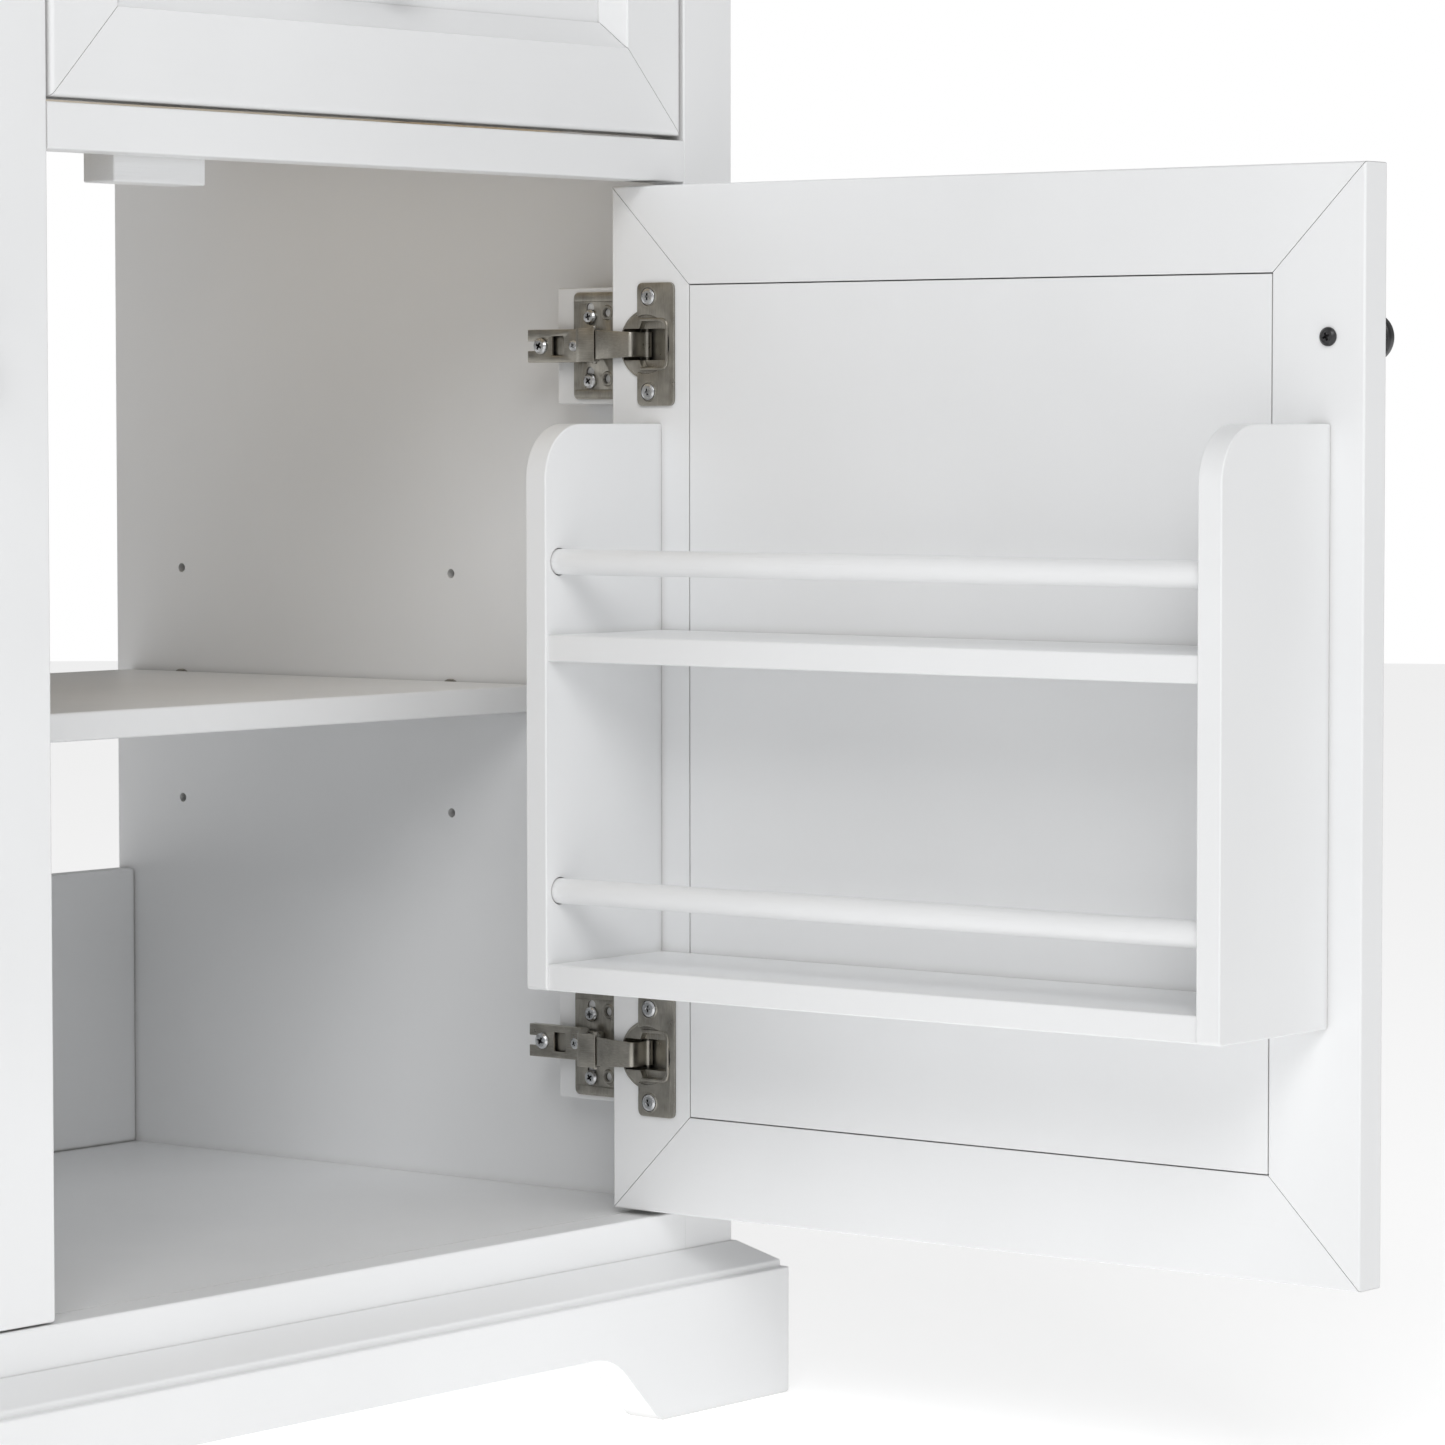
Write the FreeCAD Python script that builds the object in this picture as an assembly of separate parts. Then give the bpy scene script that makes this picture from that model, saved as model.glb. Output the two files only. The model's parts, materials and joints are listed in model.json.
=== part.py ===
import FreeCAD, Part
import math
import os

from FreeCAD import Vector

# Two-bay storage cabinet: a face-framed case on a bracket-foot base, two inset
# drawers over two inset framed doors, and a rack of shelves and rods on each door.
# X runs to the right seen from the front, Y to the back and Z up, in millimetres.
# The origin is on the floor under the middle of the case. The right door is modelled
# standing open by OPEN_ANGLE, the left door closed.

# --- driving dimensions -------------------------------------------------------
WIDTH = 1020.0              # over the outer stiles
DEPTH = 428.0               # face of the frame to the back edges of the sides
BASE_HEIGHT = 100.0         # floor to the top of the bottom rail
DOOR_OPENING = 526.0
MID_RAIL = 21.0
DRAWER_OPENING = 160.0
TOP_RAIL = 41.0
STILE = 39.0
FRAME = 21.0                # thickness of the face frame
PANEL = 15.0                # sides and partition
BOTTOM = 16.0
TOP_THICK = 22.0
TOP_OVERHANG = 20.0
BACK_RAIL = 13.0
EASE = 1.0                  # eased edges of painted boards

PLINTH_OUT = 21.0           # base boards stand this far in front of the frame
PLINTH_TOP = 80.2
ARCH_HEIGHT = 37.5
FOOT_WIDTH = 106.0
FOOT_BLOCK = 45.0
BEARER = 16.0
FRAME_BOTTOM = 45.0

DOOR_THICK = 20.0
DOOR_GAP = 2.5
MEMBER = 50.0               # back width of the door and drawer-front frames
FRONT_FLAT = 42.0           # flat part of the frame seen from the front
LIP_BACK = 9.5              # depth of the lip that the centre panel rests on
LIP_REACH = 54.5
PANEL_GAP = 0.6
MITRE_GAP = 0.25
OPEN_ANGLE = 90.0

PIVOT_IN = 17.5             # hinge axis from the stile's inner edge
PIVOT_DEEP = 10.0           # hinge axis behind the face of the frame
HINGE_FROM_END = 80.0
CUP_FROM_EDGE = 23.5
CUP_RADIUS = 17.5
CUP_DEEP = 13.4
CUP_SCREW_OFFSET = 1.4
FLANGE_TO_HINGE = 7.2       # flange edges on each side of the cup screws
FLANGE_TO_FREE = 16.3
CUP_SCREW_PITCH = 48.0

RACK_FROM_HINGE = 19.5
RACK_WIDTH = 409.0
RACK_BOARD = 13.0
RACK_REACH = 91.0
RACK_BOTTOM = 121.0
RACK_HEIGHT = 280.0
RACK_TIER = 163.0
ROD_RADIUS = 6.4
ROD_ABOVE = 49.0            # rod axis above the underside of its shelf
ROD_OUT = 80.5

SHELF = 14.0
SHELF_UNDER = 252.0         # shelf underside above the case bottom
SHELF_FRONT = 116.5
SHELF_BACK = 417.5
HOLE_PITCH = 64.0
HOLE_FIRST = 195.5
HOLE_BACK = 377.5
HOLE_FRONT = 179.0
PIN_HOLE = 2.5              # radius

KNOB_FROM_FREE = 19.5
KNOB_HEIGHT = 24.0
KNOB_RADIUS = 12.2

DRAWER_WALL = 12.0
DRAWER_BOX_HEIGHT = 110.0
DRAWER_BOX_LENGTH = 350.0
SLIDE_SPACE = 13.0
SLIDE_HEIGHT = 45.0

# --- positions worked out from them -------------------------------------------
FRONT = -DEPTH / 2
BACK = DEPTH / 2
FRAME_BACK = FRONT + FRAME
OUTER = WIDTH / 2
STILE_IN = OUTER - STILE
SIDE_IN = OUTER - PANEL
MULLION = STILE / 2
HALF_PART = PANEL / 2
OPENING_WIDTH = STILE_IN - MULLION
DOOR_TOP = BASE_HEIGHT + DOOR_OPENING
DRAWER_BASE = DOOR_TOP + MID_RAIL
DRAWER_TOP = DRAWER_BASE + DRAWER_OPENING
CASE_TOP = DRAWER_TOP + TOP_RAIL
DOOR_WIDTH = OPENING_WIDTH - 2 * DOOR_GAP
DOOR_HEIGHT = DOOR_OPENING - 2 * DOOR_GAP
DOOR_FOOT = BASE_HEIGHT + DOOR_GAP
HINGE_EDGE = STILE_IN - DOOR_GAP
DOOR_BACK = FRONT + DOOR_THICK
HINGE_HEIGHTS = (DOOR_FOOT + HINGE_FROM_END, DOOR_FOOT + DOOR_HEIGHT - HINGE_FROM_END)
PIVOT = Vector(STILE_IN - PIVOT_IN, FRONT + PIVOT_DEEP, 0)
UP = Vector(0, 0, 1)


# --- building blocks ----------------------------------------------------------
def box(x0, x1, y0, y1, z0, z1):
    return Part.makeBox(x1 - x0, y1 - y0, z1 - z0, Vector(x0, y0, z0))


def along(edge, axis):
    """True where an edge is straight and runs along axis 0, 1 or 2."""
    if len(edge.Vertexes) < 2 or not isinstance(edge.Curve, Part.Line):
        return False
    run = edge.Vertexes[1].Point - edge.Vertexes[0].Point
    return abs(abs(run[axis]) - run.Length) < 1e-6


def board(x0, x1, y0, y1, z0, z1, axis=None, ease=EASE):
    """A board with eased edges: all of them, or only those along one axis."""
    shape = box(x0, x1, y0, y1, z0, z1)
    edges = [e for e in shape.Edges if axis is None or along(e, axis)]
    return shape.makeFillet(ease, edges)


def rod(radius, start, end):
    run = end - start
    return Part.makeCylinder(radius, run.Length, start, run)


def unit(vector):
    return vector * (1.0 / vector.Length)


def outline(corners, place):
    """A closed face through corners (a, b, radius), each rounded by its radius."""
    points = [Vector(a, b, 0) for a, b, radius in corners]
    spans = []
    for i, (a, b, radius) in enumerate(corners):
        here = points[i]
        before = unit(points[i - 1] - here)
        after = unit(points[(i + 1) % len(points)] - here)
        half = before.getAngle(after) / 2
        if radius == 0:
            spans.append((here, None, here))
            continue
        reach = radius / math.tan(half)
        centre = here + unit(before + after) * (radius / math.sin(half))
        middle = centre + unit(here - centre) * radius
        spans.append((here + before * reach, middle, here + after * reach))
    edges = []
    for i, (start, middle, end) in enumerate(spans):
        if middle is not None:
            edges.append(Part.Arc(place(start), place(middle), place(end)).toShape())
        following = spans[(i + 1) % len(spans)][0]
        if (following - end).Length > 1e-6:
            edges.append(Part.LineSegment(place(end), place(following)).toShape())
    return Part.Face(Part.Wire(edges))


def plate(corners, plane, start, thick):
    """An outline in plane 'xy', 'xz' or 'yz', extruded from start along its normal."""
    if plane == "xy":
        return outline(corners, lambda p: Vector(p.x, p.y, start)).extrude(Vector(0, 0, thick))
    if plane == "xz":
        return outline(corners, lambda p: Vector(p.x, start, p.y)).extrude(Vector(0, thick, 0))
    return outline(corners, lambda p: Vector(start, p.x, p.y)).extrude(Vector(thick, 0, 0))


def strap(points, thick, z0, z1):
    """A strip bent about Z through points (x, y), with round bends and ends."""
    pieces = [Part.makeCylinder(thick / 2, z1 - z0, Vector(x, y, z0)) for x, y in points]
    for (x0, y0), (x1, y1) in zip(points, points[1:]):
        length = math.hypot(x1 - x0, y1 - y0)
        piece = box(0, length, -thick / 2, thick / 2, z0, z1)
        piece.rotate(Vector(0, 0, 0), UP, math.degrees(math.atan2(y1 - y0, x1 - x0)))
        piece.translate(Vector(x0, y0, 0))
        pieces.append(piece)
    return pieces[0].fuse(pieces[1:]).removeSplitter()


def screw(head_radius, head_height, shank_radius, length, seat, direction):
    """A pan-head screw with a cross recess; seat is under the head, direction inward."""
    head = rod(head_radius, seat - direction * head_height, seat)
    rim = [e for e in head.Edges if e.Closed and e.CenterOfMass.distanceToPoint(seat) > 0.5]
    head = head.makeFillet(head_height * 0.45, rim)
    crown = seat - direction * (head_height + 0.1)
    for side in (direction.cross(UP), UP):
        reach = side * head_radius * 0.55
        head = head.cut(rod(head_radius * 0.14, crown - reach, crown + reach))
    return head.fuse(rod(shank_radius, seat, seat + direction * length)).removeSplitter()


def mirrored(shape):
    return shape.mirror(Vector(0, 0, 0), Vector(1, 0, 0))


def both(shapes):
    return list(shapes) + [mirrored(shape) for shape in shapes]


def opened(shape):
    """The right door's pieces swing about the hinge axis to their standing-open place."""
    turned = shape.copy()
    turned.rotate(PIVOT, UP, OPEN_ANGLE)
    return turned


def save(name, shapes):
    solids = [solid for shape in shapes for solid in shape.Solids]
    for solid in solids:
        if not solid.isValid() or solid.Volume <= 0:
            raise ValueError(name + " holds a bad solid")
    whole = solids[0] if len(solids) == 1 else Part.makeCompound(solids)
    whole.exportStep("parts/" + name + ".step")


# --- case ---------------------------------------------------------------------
def pin_holes(face_x, direction, depth):
    """Shelf-pin holes in a side or partition: three rows, front and back, with drill points."""
    inward = Vector(direction, 0, 0)
    holes = []
    for row in range(3):
        for setback in (HOLE_FRONT, HOLE_BACK):
            start = Vector(face_x, FRONT + setback, BASE_HEIGHT + HOLE_FIRST + row * HOLE_PITCH)
            end = start + inward * depth
            point = Part.makeCone(PIN_HOLE, 0, 1.0, end, inward)
            holes.append(rod(PIN_HOLE, start, end).fuse(point))
    return holes


def side_panel():
    panel = board(SIDE_IN, OUTER, FRAME_BACK, BACK, FRAME_BOTTOM, CASE_TOP)
    return panel.cut(pin_holes(SIDE_IN, 1, 10.0))


def partition():
    panel = board(-HALF_PART, HALF_PART, FRAME_BACK, BACK, BASE_HEIGHT, CASE_TOP)
    return panel.cut(pin_holes(HALF_PART, -1, 6.0) + pin_holes(-HALF_PART, 1, 6.0))


def back_rail(z0, z1):
    return board(HALF_PART, SIDE_IN, BACK - BACK_RAIL, BACK, z0, z1, ease=2.0)


SHELF_PLAY = 1.7
SUPPORT_WIDTH = 12.0


def shelf():
    under = BASE_HEIGHT + SHELF_UNDER
    return board(HALF_PART + SHELF_PLAY, SIDE_IN - SHELF_PLAY, FRONT + SHELF_FRONT, FRONT + SHELF_BACK,
                 under, under + SHELF, ease=1.2)


def shelf_support(face_x, inward, y):
    """An angle bracket: a pin in the hole, a round-topped upright and a ledge."""
    under = BASE_HEIGHT + SHELF_UNDER
    pin_z = BASE_HEIGHT + HOLE_FIRST + HOLE_PITCH
    half = SUPPORT_WIDTH / 2
    upright = plate([(y - half, under - 1.4, 0), (y + half, under - 1.4, 0),
                     (y + half, pin_z + 7.7, half - 0.2), (y - half, pin_z + 7.7, half - 0.2)],
                    "yz", face_x, inward * 1.4)
    ledge_x = sorted((face_x, face_x + inward * 10.0))
    ledge = box(ledge_x[0], ledge_x[1], y - half, y + half, under - 1.4, under)
    start = Vector(face_x + inward * 0.7, y, pin_z)
    pin = rod(2.4, start, start - Vector(inward * 6.5, 0, 0))
    return upright.fuse([ledge, pin]).removeSplitter()


def shelf_supports():
    places = [(face, inward, FRONT + setback) for face, inward in ((SIDE_IN, -1), (HALF_PART, 1))
              for setback in (HOLE_FRONT, HOLE_BACK)]
    return [shelf_support(*place) for place in places]


def door_stop():
    start = MULLION + 63.0
    return board(start, start + 60.0, FRAME_BACK, FRAME_BACK + 20.0, DOOR_TOP - 12.0, DRAWER_BASE - 4.0)


# --- face frame and base ------------------------------------------------------
def base_section(inner, sign, plane_start, length, plane):
    """Section of a base board: a bevel, a small step and an upright face."""
    top = PLINTH_TOP
    return plate([(inner, 0, 0), (inner + sign * PLINTH_OUT, 0, 1.5),
                  (inner + sign * PLINTH_OUT, top - 14.2, 1.0),
                  (inner + sign * 17.8, top - 13.8, 0.6), (inner + sign * 17.8, top - 10.6, 1.6),
                  (inner + sign * 1.6, top, 0), (inner, top, 0)], plane, plane_start, length)


def elevation(start, end, foot_start, foot_end, plane, plane_start, thick):
    """Side view of a base board: level soffit between feet whose inner ends are ogees."""
    rise = ARCH_HEIGHT
    return plate([(start, 0, 3.0), (foot_start, 0, 12.0), (foot_start + rise, rise, 34.0),
                  (foot_end - rise, rise, 34.0), (foot_end, 0, 12.0), (end, 0, 3.0),
                  (end, BASE_HEIGHT, 0), (start, BASE_HEIGHT, 0)], plane, plane_start, thick)


def plinth_front():
    reach = OUTER + PLINTH_OUT
    blank = base_section(FRONT, -1, -reach, 2 * reach, "yz")
    shaped = elevation(-reach, reach, -reach + FOOT_WIDTH, reach - FOOT_WIDTH, "xz",
                       FRONT - PLINTH_OUT - 1, PLINTH_OUT + 2)
    mitre = plate([(-reach, FRONT - PLINTH_OUT, 0), (reach, FRONT - PLINTH_OUT, 0),
                   (OUTER, FRONT, 0), (-OUTER, FRONT, 0)], "xy", 0, BASE_HEIGHT)
    return blank.common(shaped).common(mitre)


def plinth_side():
    front = FRONT - PLINTH_OUT
    blank = base_section(OUTER, 1, front, BACK - front, "xz")
    shaped = elevation(front, BACK, front + FOOT_WIDTH, BACK - FOOT_WIDTH, "yz",
                       OUTER - 1, PLINTH_OUT + 2)
    mitre = plate([(OUTER, FRONT, 0), (OUTER + PLINTH_OUT, front, 0), (OUTER + PLINTH_OUT, BACK, 0),
                   (OUTER, BACK, 0)], "xy", 0, BASE_HEIGHT)
    return blank.common(shaped).common(mitre)


def foot_block():
    """The block that stiffens a rear corner of the base."""
    back = BACK - BEARER
    return board(SIDE_IN - FOOT_BLOCK, SIDE_IN, back - FOOT_BLOCK, back, 0, BASE_HEIGHT - BOTTOM)


# --- doors and drawer fronts --------------------------------------------------
def frame_member(length):
    """A mitred frame member lying along X: z across its width, y its thickness."""
    corners = [(0, 0, 2.5), (0, FRONT_FLAT, 0), (1.0, FRONT_FLAT + 0.6, 0.4),
               (2.2, FRONT_FLAT + 2.4, 1.2), (6.8, LIP_REACH - 2.4, 1.2), (8.4, LIP_REACH, 0.5),
               (LIP_BACK, LIP_REACH, 0), (LIP_BACK, MEMBER, 0), (DOOR_THICK, MEMBER, 0.4),
               (DOOR_THICK, 0, 1.2)]
    blank = plate(corners, "yz", 0, length)
    reach = LIP_REACH + 2.0
    gap = MITRE_GAP
    mitre = plate([(gap, 0, 0), (length - gap, 0, 0), (length - gap - reach, reach, 0),
                   (gap + reach, reach, 0)], "xz", -1.0, DOOR_THICK + 2.0)
    return blank.common(mitre)


def front_frame(width, height):
    """Bottom, top and two upright members, with the lower left corner at the origin."""
    bottom = frame_member(width)
    top = frame_member(width)
    top.rotate(Vector(width / 2, 0, height / 2), Vector(0, 1, 0), 180)
    members = [bottom, top]
    for turn in (90, 270):
        upright = frame_member(height)
        upright.translate(Vector((width - height) / 2, 0, 0))
        upright.rotate(Vector(width / 2, 0, height / 2), Vector(0, 1, 0), turn)
        slide = (width - height) / 2 if turn == 90 else (height - width) / 2
        upright.translate(Vector(-slide, 0, 0))
        members.append(upright)
    return members


def front_panel(width, height):
    inset = MEMBER + PANEL_GAP
    return board(inset, width - inset, LIP_BACK, DOOR_THICK, inset, height - inset, ease=0.4)


def placed(shape, x, y, z):
    moved = shape.copy()
    moved.translate(Vector(x, y, z))
    return moved


def knob(x, z):
    """A turned knob: foot, waist and domed head, standing out of the front."""
    corners = [(0, 0, 0), (8.0, 0, 0.6), (8.0, 2.2, 1.0), (4.6, 6.5, 3.0), (5.0, 10.5, 2.5),
               (KNOB_RADIUS, 14.0, 2.2), (KNOB_RADIUS - 0.8, 20.0, 4.0), (0, KNOB_HEIGHT, 0)]
    half = outline(corners, lambda p: Vector(x + p.x, FRONT - p.y, z))
    turned = half.revolve(Vector(x, FRONT, z), Vector(0, -1, 0), 360)
    bore = rod(2.0, Vector(x, FRONT + 1, z), Vector(x, FRONT - 10.0, z))
    return turned.cut(bore)


def knob_screw(x, z, seat_y, reach):
    return screw(4.4, 2.4, 1.95, reach, Vector(x, seat_y, z), Vector(0, -1, 0))


KNOB_X = HINGE_EDGE - DOOR_WIDTH + KNOB_FROM_FREE
KNOB_Z = DOOR_FOOT + DOOR_HEIGHT - HINGE_FROM_END
CUP_X = HINGE_EDGE - CUP_FROM_EDGE
CUP_SCREW_X = CUP_X - CUP_SCREW_OFFSET


def cup_screw_places():
    return [Vector(CUP_SCREW_X, DOOR_BACK, z + side * CUP_SCREW_PITCH / 2)
            for z in HINGE_HEIGHTS for side in (-1, 1)]


def door_frame():
    """The closed right door's members, bored for its cups, screws and knob."""
    left = HINGE_EDGE - DOOR_WIDTH
    bottom = DOOR_BACK - CUP_DEEP - 0.1
    bores = [rod(CUP_RADIUS + 0.1, Vector(CUP_X, DOOR_BACK + 1, z), Vector(CUP_X, bottom, z))
             for z in HINGE_HEIGHTS]
    bores += [rod(1.8, p + Vector(0, 1, 0), p - Vector(0, 11.5, 0)) for p in cup_screw_places()]
    bores.append(rod(2.1, Vector(KNOB_X, FRONT - 1, KNOB_Z), Vector(KNOB_X, DOOR_BACK + 1, KNOB_Z)))
    members = [placed(m, left, FRONT, DOOR_FOOT) for m in front_frame(DOOR_WIDTH, DOOR_HEIGHT)]
    return [member.cut(bores) for member in members]


def door_panel():
    return placed(front_panel(DOOR_WIDTH, DOOR_HEIGHT), HINGE_EDGE - DOOR_WIDTH, FRONT, DOOR_FOOT)


# --- concealed hinges ---------------------------------------------------------
def hinge_cup(z):
    """A 35 mm cup with its screw flange, a slot for the elbow and a cross pin."""
    floor = DOOR_BACK - CUP_DEEP
    cup = rod(CUP_RADIUS, Vector(CUP_X, floor, z), Vector(CUP_X, DOOR_BACK, z))
    rim = rod(CUP_RADIUS + 0.6, Vector(CUP_X, DOOR_BACK, z), Vector(CUP_X, DOOR_BACK + 0.8, z))
    x0 = CUP_SCREW_X - FLANGE_TO_FREE
    x1 = CUP_SCREW_X + FLANGE_TO_HINGE
    rim = rim.cut(box(CUP_X - 30, x1 - 2, DOOR_BACK - 1, DOOR_BACK + 2, z - 30, z + 30))
    flange = plate([(x0, z - 31, 3), (x1, z - 31, 3), (x1, z + 31, 3), (x0, z + 31, 3)],
                   "xz", DOOR_BACK, 1.4)
    body = cup.fuse([rim, flange]).removeSplitter()
    slot = box(CUP_X - 12.0, CUP_X + 14.8, floor + 0.8, DOOR_BACK + 3, z - 8.5, z + 8.5)
    screws = [rod(1.9, p + Vector(0, 3, 0), p - Vector(0, 3, 0)) for p in cup_screw_places()]
    pin = rod(1.2, Vector(PIVOT.x, PIVOT.y, z - 9.5), Vector(PIVOT.x, PIVOT.y, z + 9.5))
    return body.cut([slot] + screws).fuse(pin).removeSplitter()


def hinge_arm(z):
    """Arm on its plate, cranked inward, ending in the elbow and its eye on the pin."""
    x = STILE_IN
    y = FRONT
    crank = [(x - 9.2, y + 93), (x - 9.2, y + 60), (x - 27, y + 46), (x - 31, y + 38)]
    neck = [(x - 31, y + 38), (x - 32.5, y + 20.5), (x - 31, y + 13.2), (PIVOT.x, PIVOT.y)]
    arm = strap(crank, 2.6, z - 8.5, z + 8.5)
    elbow = strap(neck, 1.8, z - 7.5, z + 7.5)
    eye = Part.makeCylinder(2.3, 15.0, Vector(PIVOT.x, PIVOT.y, z - 7.5))
    bore = Part.makeCylinder(1.26, 17.0, Vector(PIVOT.x, PIVOT.y, z - 8.5))
    return arm.fuse([elbow, eye]).cut(bore).removeSplitter()


PLATE_SCREWS = ((60.0, -16.5), (60.0, 16.5))


def hinge_plate(z):
    """A cruciform mounting plate with a raised seat for the arm."""
    x = STILE_IN
    y = FRONT
    wings = plate([(y + 42, z - 27.5, 1.5), (y + 72, z - 27.5, 4), (y + 72, z + 27.5, 4),
                   (y + 42, z + 27.5, 1.5)], "yz", x - 2.0, 2.0)
    seat = board(x - 7.9, x, y + 52, y + 88, z - 6.5, z + 6.5, ease=0.8)
    holes = [rod(2.4, Vector(x - 3, y + setback, z + rise), Vector(x + 1, y + setback, z + rise))
             for setback, rise in PLATE_SCREWS]
    return wings.fuse(seat).cut(holes).removeSplitter()


def plate_screws(z):
    seats = [Vector(STILE_IN - 2.0, FRONT + setback, z + rise) for setback, rise in PLATE_SCREWS]
    return [screw(4.2, 2.2, 2.0, 16.0, seat, Vector(1, 0, 0)) for seat in seats]


def spacer_block(z):
    """Block that brings the hinge plate level with the stile's inner edge."""
    block = board(STILE_IN, SIDE_IN, FRAME_BACK, FRONT + 84, z - 30, z + 30)
    starts = [Vector(STILE_IN - 1, FRONT + setback, z + rise) for setback, rise in PLATE_SCREWS]
    return block.cut([rod(2.05, start, start + Vector(16, 0, 0)) for start in starts])


# --- door rack ----------------------------------------------------------------
RACK_RIGHT = HINGE_EDGE - RACK_FROM_HINGE
RACK_LEFT = RACK_RIGHT - RACK_WIDTH
RACK_FOOT = DOOR_FOOT + RACK_BOTTOM


def rod_places():
    return [(DOOR_BACK + ROD_OUT, RACK_FOOT + tier * RACK_TIER + ROD_ABOVE) for tier in range(2)]


def rack_side(x0, inner_x, inward):
    """A rack end: round top corner, and blind sockets for the rods."""
    y0 = DOOR_BACK
    top = RACK_FOOT + RACK_HEIGHT
    shape = plate([(y0, RACK_FOOT, 0.6), (y0 + RACK_REACH, RACK_FOOT, 2.0),
                   (y0 + RACK_REACH, top, 27.0), (y0, top, 1.0)], "yz", x0, RACK_BOARD)
    shape = shape.makeFillet(0.8, [e for e in shape.Edges if not along(e, 0)])
    mouth = inner_x + inward
    end = inner_x - inward * 8.0
    return shape.cut([rod(ROD_RADIUS + 0.5, Vector(mouth, y, z), Vector(end, y, z))
                      for y, z in rod_places()])


def rack_shelf(tier):
    z0 = RACK_FOOT + tier * RACK_TIER
    return board(RACK_LEFT + RACK_BOARD, RACK_RIGHT - RACK_BOARD, DOOR_BACK,
                 DOOR_BACK + RACK_REACH - 1.5, z0, z0 + RACK_BOARD, axis=0)


def rack_rods():
    left = RACK_LEFT + RACK_BOARD - 7.5
    right = RACK_RIGHT - RACK_BOARD + 7.5
    return [rod(ROD_RADIUS, Vector(left, y, z), Vector(right, y, z)) for y, z in rod_places()]


# --- drawers ------------------------------------------------------------------
DRAWER_FOOT = DRAWER_BASE + 2.3
DRAWER_FRONT_HEIGHT = DRAWER_OPENING - 4.8
DRAWER_LEFT = MULLION + DOOR_GAP
BOX_LEFT = MULLION + SLIDE_SPACE
BOX_RIGHT = STILE_IN - SLIDE_SPACE
BOX_FRONT = FRONT + DOOR_THICK
BOX_BACK = BOX_FRONT + DRAWER_BOX_LENGTH
BOX_FOOT = DRAWER_BASE + 6.0
BOX_FLOOR = BOX_FOOT + 8.0
GROOVE = 5.0
SLIDE_Z = BOX_FOOT + DRAWER_BOX_HEIGHT / 2
DRAWER_KNOB = (DRAWER_LEFT + DOOR_WIDTH / 2, DRAWER_FOOT + DRAWER_FRONT_HEIGHT / 2)


def drawer_front():
    frame = front_frame(DOOR_WIDTH, DRAWER_FRONT_HEIGHT)
    return [placed(member, DRAWER_LEFT, FRONT, DRAWER_FOOT) for member in frame]


def drawer_knob_bore():
    x, z = DRAWER_KNOB
    return rod(2.1, Vector(x, FRONT, z), Vector(x, BOX_FRONT + DRAWER_WALL + 1, z))


def drawer_panel():
    panel = placed(front_panel(DOOR_WIDTH, DRAWER_FRONT_HEIGHT), DRAWER_LEFT, FRONT, DRAWER_FOOT)
    return panel.cut(drawer_knob_bore())


def drawer_knob():
    x, z = DRAWER_KNOB
    return placed(knob(x, z), 0, LIP_BACK, 0)


def drawer_walls():
    top = BOX_FOOT + DRAWER_BOX_HEIGHT
    inner_left = BOX_LEFT + DRAWER_WALL
    inner_right = BOX_RIGHT - DRAWER_WALL
    walls = [board(BOX_LEFT, inner_left, BOX_FRONT, BOX_BACK, BOX_FOOT, top, axis=1),
             board(inner_right, BOX_RIGHT, BOX_FRONT, BOX_BACK, BOX_FOOT, top, axis=1),
             board(inner_left, inner_right, BOX_FRONT, BOX_FRONT + DRAWER_WALL, BOX_FOOT, top, axis=0),
             board(inner_left, inner_right, BOX_BACK - DRAWER_WALL, BOX_BACK, BOX_FOOT, top, axis=0)]
    return [wall.cut([drawer_floor(0.1), drawer_knob_bore()]) for wall in walls]


def drawer_floor(slack=0.0):
    reach = DRAWER_WALL - GROOVE
    return box(BOX_LEFT + reach - slack, BOX_RIGHT - reach + slack, BOX_FRONT + reach - slack,
               BOX_BACK - reach + slack, BOX_FLOOR - slack, BOX_FLOOR + 5.0 + slack)


def channel(x_web, inward, half, depth, wall, y0, y1):
    """A C-section runner: a web on x_web and two flanges reaching inward."""
    spans = [(0, wall, -half, half), (0, depth, -half, -half + wall), (0, depth, half - wall, half)]
    bars = []
    for near, far, low, high in spans:
        x0, x1 = sorted((x_web + inward * near, x_web + inward * far))
        bars.append(box(x0, x1, y0, y1, SLIDE_Z + low, SLIDE_Z + high))
    return bars[0].fuse(bars[1:]).removeSplitter()


def cabinet_slides():
    y0 = FRAME_BACK + 2.0
    half = SLIDE_HEIGHT / 2
    return [channel(web, inward, half, 9.0, 1.4, y0, y0 + 350)
            for web, inward in ((STILE_IN, -1), (MULLION, 1))]


def drawer_slides():
    y0 = FRAME_BACK + 2.0
    return [channel(web, outward, 15.0, 10.0, 1.4, y0, y0 + 345)
            for web, outward in ((BOX_RIGHT, 1), (BOX_LEFT, -1))]


def slide_spacers():
    y1 = FRAME_BACK + 370
    low = SLIDE_Z - 28
    high = SLIDE_Z + 28
    return [board(x0, x1, FRAME_BACK, y1, low, high)
            for x0, x1 in ((STILE_IN, SIDE_IN), (HALF_PART, MULLION))]


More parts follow.
